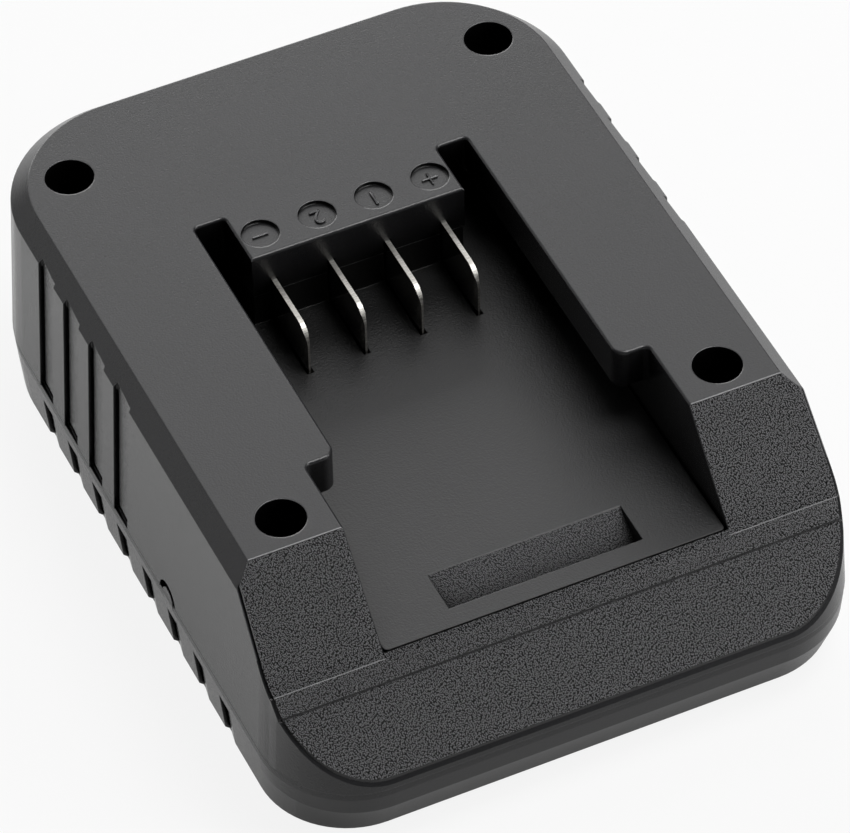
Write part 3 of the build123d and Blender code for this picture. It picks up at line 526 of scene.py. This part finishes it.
# Painted shade: the same ABS as the shell, in tones drawn darker because it lies sunk in the dock.
floor_abs = matt_abs("abs_dock_floor_matt", "#19191a", "#1f1f20", floor_relief)
catch_ramp = front_faces(floor_abs, upward_faces(floor_abs), catch_front_y, dock_floor_z)
# Painted highlight on the crests and painted shade in the pits of the ramp's grain.
etch(floor_abs, catch_ramp, "#2c2c2d", "#7c7c7e")
dress(floor_abs.material, moulded(floor_abs, floor_roughness), "dock_floor")


# Upper shell: dock, rails, hood, screw wells, louvres and the raised front, moulded in one piece of ABS.
# It has the matt of the lower shell, which it stands on. The front is etched with the coarse grain as far as
# its ledge, with painted highlight on the crests and painted shade in the pits, and the two edges across it
# carry fine painted highlight lines.

slope_top_y = -0.04
slope_top_z = 0.04375
slope_edge_y = -0.03992
step_edge_y = -0.05468
# Painted highlight lines along the slope's top edge and along the step.
highlight_width = 0.00022
highlight_strength = 0.55
dock_wall_x = 0.0296
ledge_corner_x = 0.0341
ledge_corner_y = -0.05125
ledge_radius = 0.0155


def raised_front(plastic, faces):
    """Where the front has its grain, inside the ledge, and how strong the painted highlight lines along its
    two edges are.
    """
    material, spot = plastic.material, plastic.spot
    across = add(material, "ShaderNodeMath", {0: spot.outputs["X"]}, operation="ABSOLUTE")
    past_x = add(material, "ShaderNodeMath", {0: across, 1: ledge_corner_x}, operation="SUBTRACT")
    out_x = add(material, "ShaderNodeMath", {0: past_x, 1: 0.0}, operation="MAXIMUM")
    past_y = add(material, "ShaderNodeMath", {0: ledge_corner_y, 1: spot.outputs["Y"]}, operation="SUBTRACT")
    out_y = add(material, "ShaderNodeMath", {0: past_y, 1: 0.0}, operation="MAXIMUM")
    out = add(material, "ShaderNodeCombineXYZ", {"X": out_x, "Y": out_y})
    reach = add(material, "ShaderNodeVectorMath", {0: out}, operation="LENGTH").outputs["Value"]
    upright = add(material, "ShaderNodeMath", {
        0: spot.outputs["Z"], 1: wall_lean, 2: reach}, operation="MULTIPLY_ADD")
    inside = add(material, "ShaderNodeMath", {
        0: upright, 1: ledge_radius + parting_z * wall_lean}, operation="LESS_THAN")
    slope_line = add(material, "ShaderNodeMath", {
        0: spot.outputs["Y"], 1: slope_edge_y, 2: highlight_width / 2}, operation="COMPARE")
    step_line = add(material, "ShaderNodeMath", {
        0: spot.outputs["Y"], 1: step_edge_y, 2: highlight_width / 2}, operation="COMPARE")
    lines = add(material, "ShaderNodeMath", {0: slope_line, 1: step_line}, operation="MAXIMUM")
    beside_dock = add(material, "ShaderNodeMath", {0: across, 1: dock_wall_x}, operation="GREATER_THAN")
    side_lines = add(material, "ShaderNodeMath", {0: lines, 1: beside_dock}, operation="MULTIPLY")
    bed = add(material, "ShaderNodeMath", {0: faces, 1: inside}, operation="MULTIPLY")
    lit_lines = add(material, "ShaderNodeMath", {0: side_lines, 1: bed}, operation="MULTIPLY")
    grained = add(material, "ShaderNodeMath", {
        0: inside, 1: lit_lines}, operation="SUBTRACT", use_clamp=True)
    painted_highlight = add(material, "ShaderNodeMath", {0: lit_lines, 1: highlight_strength}, operation="MULTIPLY")
    return grained, painted_highlight


top_abs = matt_abs("abs_top_fine_matt", shell_dark, shell_light, shell_relief)
top_faces = upward_faces(top_abs)
slopes = front_faces(top_abs, top_faces, slope_top_y, slope_top_z)
grained_front, top_abs.highlight_lines = raised_front(top_abs, top_faces)
etched_front = add(top_abs.material, "ShaderNodeMath", {0: slopes, 1: grained_front}, operation="MULTIPLY")
# Painted shade in the pits, in black, and painted highlight on the crests of the front's grain.
etch(top_abs, etched_front, "#000000", "#808082")
dress(top_abs.material, moulded(top_abs, shell_roughness, walls=True), "upper_shell")


# Contact signs: thin raised strokes in the four shallow discs of the hood, one for each blade.
# They are moulded with the shell in the same ABS, so they have its finish, and they read from the rear.

disc_depth = 0.0007
disc_y = 0.02425
disc_pitch = 0.01
stroke_width = 0.0003
stroke_height = 0.0003
stroke_round = 0.00013
stroke_reach = 0.00125
digit_size = 0.0043
sign_z = cad_box[1].z - disc_depth + stroke_height / 2
left_and_right = [(1, 0, 0), (-1, 0, 0)]
front_and_rear = [(0, 1, 0), (0, -1, 0)]


def finish_sign(sign, name, disc):
    """Moves a sign to its disc, puts its place in its mesh and gives it the shell's plastic.

    disc counts the pitches from the middle of the hood.
    """
    sign.name = name
    sign.location = (disc * disc_pitch, disc_y, sign_z)
    bpy.ops.object.transform_apply(location=True, rotation=True, scale=True)
    sign.data.materials.append(top_abs.material)
    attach(sign, "root")


def raised_bars(directions):
    """A square stud with bars drawn out of its sides in these directions, their ends rounded."""
    bpy.ops.object.select_all(action="DESELECT")
    bpy.ops.mesh.primitive_cube_add(
        size=1.0, location=(0, 0, 0), scale=(stroke_width, stroke_width, stroke_height))
    bars = bpy.context.object
    bpy.ops.object.transform_apply(scale=True)
    bpy.ops.object.mode_set(mode="EDIT")
    bpy.ops.mesh.select_mode(type="FACE")
    for direction in directions:
        cage = bmesh.from_edit_mesh(bars.data)
        cage.normal_update()
        outward = Vector(direction)
        bpy.ops.mesh.select_all(action="DESELECT")
        for face in cage.faces:
            middle = face.calc_center_median()
            aside = (middle - outward * middle.dot(outward)).length
            if face.normal.dot(outward) > 0.99 and aside < stroke_width / 4:
                face.select_set(True)
        bmesh.update_edit_mesh(bars.data)
        bpy.ops.mesh.extrude_region_move(TRANSFORM_OT_translate={"value": outward * stroke_reach})
    bpy.ops.mesh.select_mode(type="EDGE")
    bpy.ops.mesh.select_all(action="DESELECT")
    cage = bmesh.from_edit_mesh(bars.data)
    reach = stroke_reach + stroke_width / 2
    for edge in cage.edges:
        ends = [end.co for end in edge.verts]
        upright = abs((ends[0] - ends[1]).z) > stroke_height / 2
        if upright and max(abs(ends[0].x), abs(ends[0].y)) > reach - stroke_round / 10:
            edge.select_set(True)
    bmesh.update_edit_mesh(bars.data)
    bpy.ops.mesh.bevel(offset=stroke_round, segments=4)
    bpy.ops.object.mode_set(mode="OBJECT")
    return bars


def raised_digit(figure):
    """A plain figure as a raised mesh, turned to read from the rear."""
    bpy.ops.object.select_all(action="DESELECT")
    bpy.ops.object.text_add(location=(0, 0, 0))
    digit = bpy.context.object
    digit.data.body = figure
    digit.data.size = digit_size
    digit.data.align_x = "CENTER"
    digit.data.align_y = "CENTER"
    digit.data.extrude = stroke_height / 2
    bpy.ops.object.convert(target="MESH")
    digit.rotation_euler = (0, 0, math.pi)
    return digit


finish_sign(raised_bars(left_and_right), "sign_minus", -1.5)
finish_sign(raised_digit("2"), "sign_two", -0.5)
finish_sign(raised_digit("1"), "sign_one", 0.5)
finish_sign(raised_bars(left_and_right + front_and_rear), "sign_plus", 1.5)


# Housing screws: steel with a socket for a key, turned into the bosses of the base deep in the four wells.
# Black oxide leaves the steel almost black, with a dull metallic shine.

black_oxide, black_oxide_shader = plated_metal("black_oxide_steel", "#1c1c1d", "#303031", 0.45, even)
dress(black_oxide, black_oxide_shader, "housing_screws")


# Studio floor: pale paper that takes the object's shadow. It is almost white to the camera, and it is seen
# brighter in the side walls than in the front wall, because what they mirror of it is a painted reflection:
# a white glow that is strong beside the object and weak in front of it.

floor_size = 8.0
fibre_width = 4.0  # mm: coarser than real paper fibres, which would not show
floor_white = 0.88  # share of plain white in what the camera sees
# Painted reflection: the share of glowing white that mirrored rays see, weak in front and strong beside.
front_glow_y = -0.08
front_glow = 0.12
side_glow_y = -0.035
side_glow = 0.56

bpy.ops.object.select_all(action="DESELECT")
bpy.ops.mesh.primitive_plane_add(size=floor_size, location=(0, 0, 0))
floor = bpy.context.object
floor.name = "studio_floor"
paper = new_finish("white_studio_paper")
paper_place = add(paper, "ShaderNodeTexCoord", {}).outputs["Object"]
paper_fibres = add(paper, "ShaderNodeTexNoise", {"Vector": paper_place, "Scale": grains(fibre_width)})
paper_tone = add(paper, "ShaderNodeMix", {
    0: paper_fibres, 6: linear("#d8d8d8"), 7: linear("#dcdcdc")}, data_type="RGBA")
paper_shade = add(paper, "ShaderNodeBsdfDiffuse", {"Color": paper_tone.outputs[2]})
paper_white = add(paper, "ShaderNodeEmission", {"Color": linear("#ffffff"), "Strength": 1.0})
ray = add(paper, "ShaderNodeLightPath", {})
mirrored = add(paper, "ShaderNodeMath", {
    0: ray.outputs["Is Glossy Ray"], 1: ray.outputs["Is Transmission Ray"]}, operation="MAXIMUM")
paper_spot = add(paper, "ShaderNodeSeparateXYZ", {"Vector": paper_place})
painted_reflection_glow = add(paper, "ShaderNodeMapRange", {
    "Value": paper_spot.outputs["Y"], "From Min": front_glow_y, "From Max": side_glow_y,
    "To Min": front_glow, "To Max": side_glow})
mirrored_share = add(paper, "ShaderNodeMath", {0: mirrored, 1: painted_reflection_glow}, operation="MULTIPLY")
seen = add(paper, "ShaderNodeMath", {
    0: mirrored_share, 1: ray.outputs["Is Camera Ray"]}, operation="MAXIMUM")
seen_share = add(paper, "ShaderNodeMath", {0: seen, 1: floor_white}, operation="MULTIPLY")
paper_mix = add(paper, "ShaderNodeMixShader", {0: seen_share, 1: paper_shade, 2: paper_white})
add(paper, "ShaderNodeOutputMaterial", {"Surface": paper_mix})
floor.data.materials.append(paper)


# Studio lights: soft boxes that all face the object, in dim white surroundings. The one overhead lights the
# top, the two at the rear draw its far edges and the blades, and the panels fill the left wall and the front.

room_glow = 0.01
soft_boxes = [  # name, place and width and height in metres, power in watts
    ("overhead_soft_box", (0.30, -0.12, 1.13), 0.45, 0.45, 7.0),
    ("rear_right_soft_box", (0.34, 0.76, 0.87), 0.9, 0.9, 3.8),
    ("rear_strip", (0.15, 1.15, 0.35), 1.0, 0.6, 10.0),
    ("left_rear_panel", (-0.8, 0.8, 0.5), 0.7, 0.7, 1.15),
    ("right_front_panel", (0.36, -0.24, 0.38), 0.26, 0.26, 1.0),
]

for name, place, width, height, power in soft_boxes:
    lamp = bpy.data.lights.new(name, "AREA")
    lamp.shape = "RECTANGLE"
    lamp.size = width
    lamp.size_y = height
    lamp.energy = power
    box = bpy.data.objects.new(name, lamp)
    box.location = place
    box.rotation_euler = (-Vector(place)).to_track_quat("-Z", "Y").to_euler()
    bpy.context.scene.collection.objects.link(box)

world = bpy.data.worlds.new("dim_studio")
world.use_nodes = True
world.node_tree.nodes["Background"].inputs["Color"].default_value = linear("#ffffff")
world.node_tree.nodes["Background"].inputs["Strength"].default_value = room_glow
bpy.context.scene.world = world
bpy.context.scene.view_settings.view_transform = "Standard"


# Camera: a long lens from the front left, 46 degrees above the table and level to within two degrees.
# Its place, turn and lens were fitted to the straight edges of the object in the photo.

camera_target = Vector((-0.00846, -0.02424, 0.0439))
camera_distance = 0.9971
azimuth = math.radians(-23.96)
elevation = math.radians(46.14)
roll = math.radians(-1.447)
focal_length = 271.1
sensor_width = 36.0
clip_start = 0.05
clip_end = 20.0

back = Vector((
    math.sin(azimuth) * math.cos(elevation), -math.cos(azimuth) * math.cos(elevation), math.sin(elevation)))
level_right = Vector((0, 0, 1)).cross(back).normalized()
level_up = back.cross(level_right)
right = math.cos(roll) * level_right + math.sin(roll) * level_up
up = math.cos(roll) * level_up - math.sin(roll) * level_right
lens = bpy.data.cameras.new("long_lens")
lens.lens = focal_length
lens.sensor_width = sensor_width
lens.clip_start = clip_start
lens.clip_end = clip_end
camera = bpy.data.objects.new("camera", lens)
turn = Matrix((right, up, back)).transposed().to_4x4()
camera.matrix_world = Matrix.Translation(camera_target + back * camera_distance) @ turn
bpy.context.scene.collection.objects.link(camera)
bpy.context.scene.camera = camera
